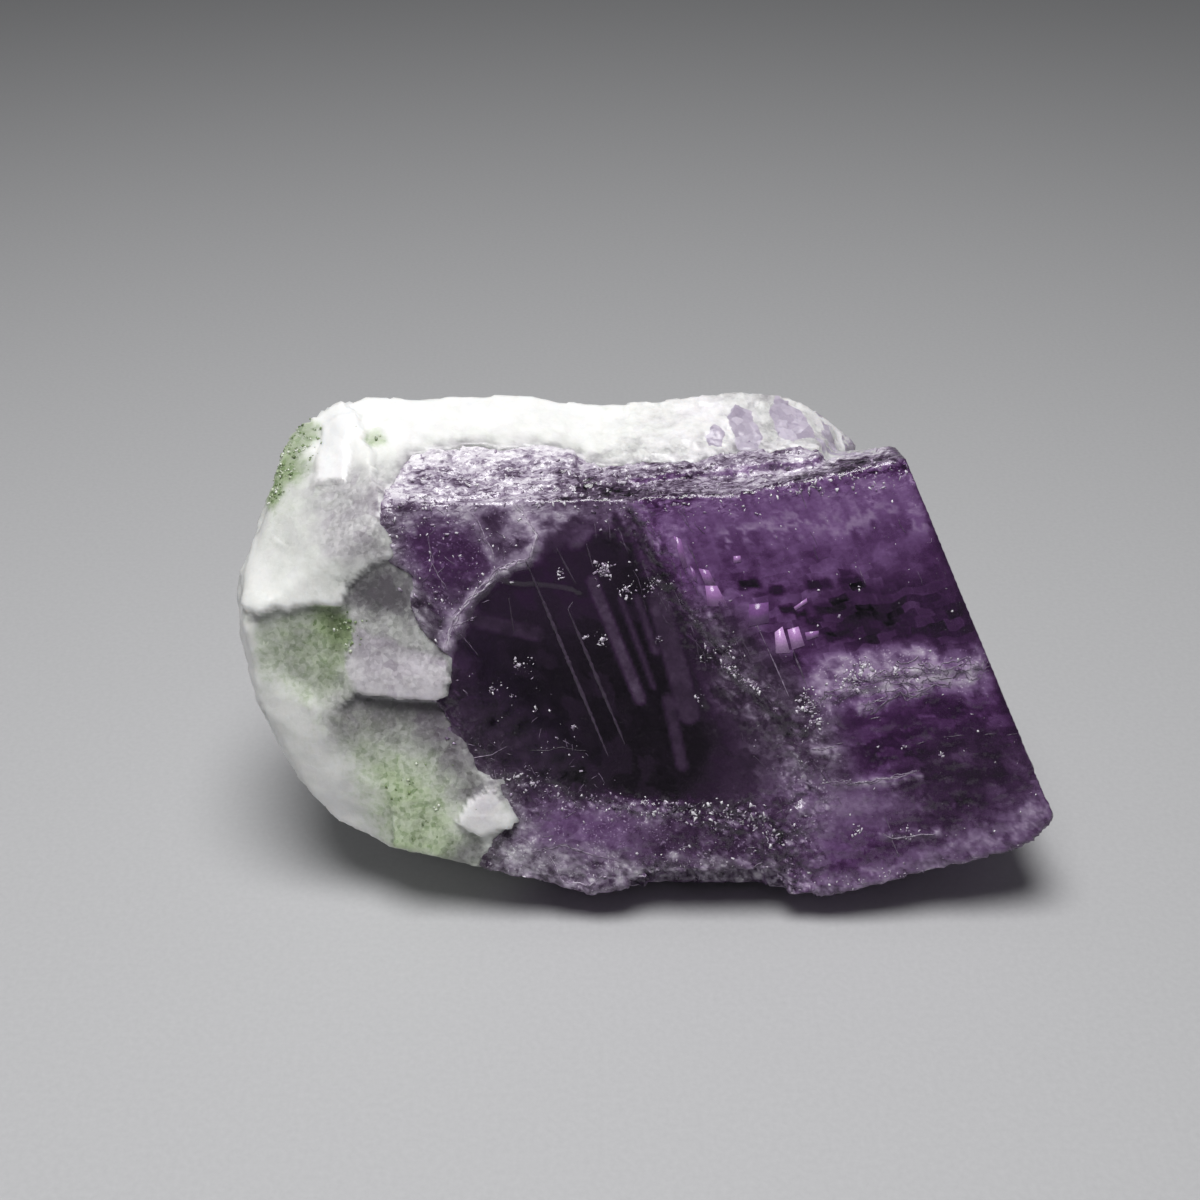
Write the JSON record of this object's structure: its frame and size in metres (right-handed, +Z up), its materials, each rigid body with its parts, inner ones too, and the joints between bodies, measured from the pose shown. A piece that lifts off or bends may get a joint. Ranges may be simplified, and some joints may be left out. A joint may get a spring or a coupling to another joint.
{
  "type": "scapolite crystal",
  "caption": "Rough purple crystal with a clean leaning cleavage face, grown in white and green matrix, lying flat to be shown on a table or shelf.",
  "frame": {"origin": "under the middle of the stone, in the plane that it rests on", "axes": "+X along the stone towards the clean end of the crystal, -Y out of the big cleavage face, +Z up"},
  "size_m": [0.056, 0.0262, 0.031],
  "materials": {
    "purple_crystal": "vitreous, see-through purple with milky and cracked zones",
    "pale_matrix": "white, sugary to satin",
    "green_grains": "granular, glittering"
  },
  "bodies": {
    "root": {"scapolite_crystal": "purple_crystal"}
  },
  "joints": []
}
